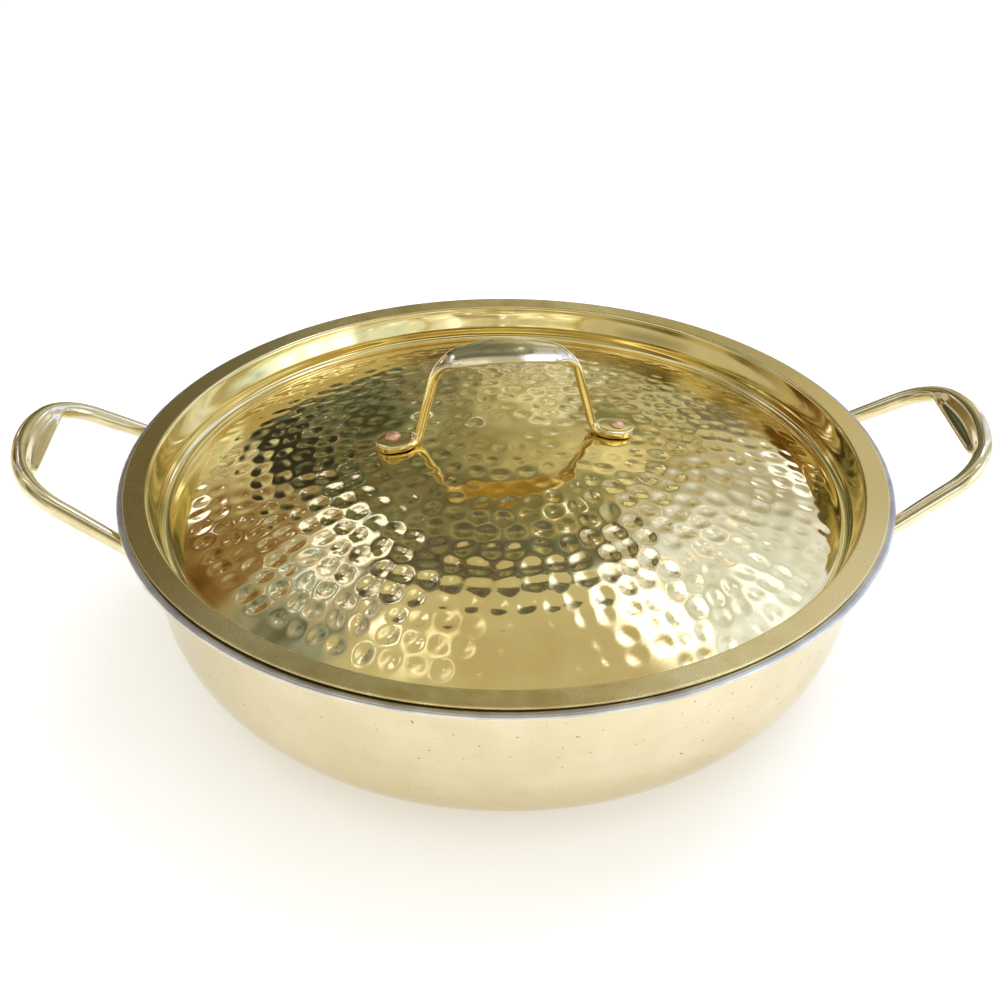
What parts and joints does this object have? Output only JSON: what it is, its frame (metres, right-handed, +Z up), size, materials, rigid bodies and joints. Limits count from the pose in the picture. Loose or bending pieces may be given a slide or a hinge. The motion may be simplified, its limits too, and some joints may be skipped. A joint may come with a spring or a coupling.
{
  "type": "lidded kadai",
  "caption": "Shallow round brass kadai with a flat rim, tinned inside, riveted loop side handles, and a lift-off lid with a sunken rim, a low dome and a strap handle.",
  "frame": {"origin": "centre of the flat base, on the surface that the pan stands on", "axes": "+X through the middle of the right side handle, +Y away from the viewer of the picture, +Z up"},
  "size_m": [0.3772, 0.3, 0.1276],
  "materials": {
    "pan_brass": "polished",
    "lid_brass": "polished, hammered dome",
    "handle_brass": "polished cast brass",
    "tin": "satin",
    "copper": "polished"
  },
  "bodies": {
    "pan": {"pan_body": "pan_brass", "pan_lining": "tin", "side_handle_left": "handle_brass", "side_handle_right": "handle_brass", "left_handle_rivet_front_outer": "copper", "left_handle_rivet_front_inner": "copper", "left_handle_rivet_back_outer": "copper", "left_handle_rivet_back_inner": "copper", "right_handle_rivet_front_outer": "copper", "right_handle_rivet_front_inner": "copper", "right_handle_rivet_back_outer": "copper", "right_handle_rivet_back_inner": "copper"},
    "lid": {"lid": "lid_brass", "lid_handle": "handle_brass", "lid_rivet_left": "copper", "lid_rivet_right": "copper"}
  },
  "joints": [
    {"name": "lid_lift", "type": "slide", "parent": "pan", "child": "lid", "axis": [0, 0, 1], "range_m": [0, 0.15]}
  ]
}
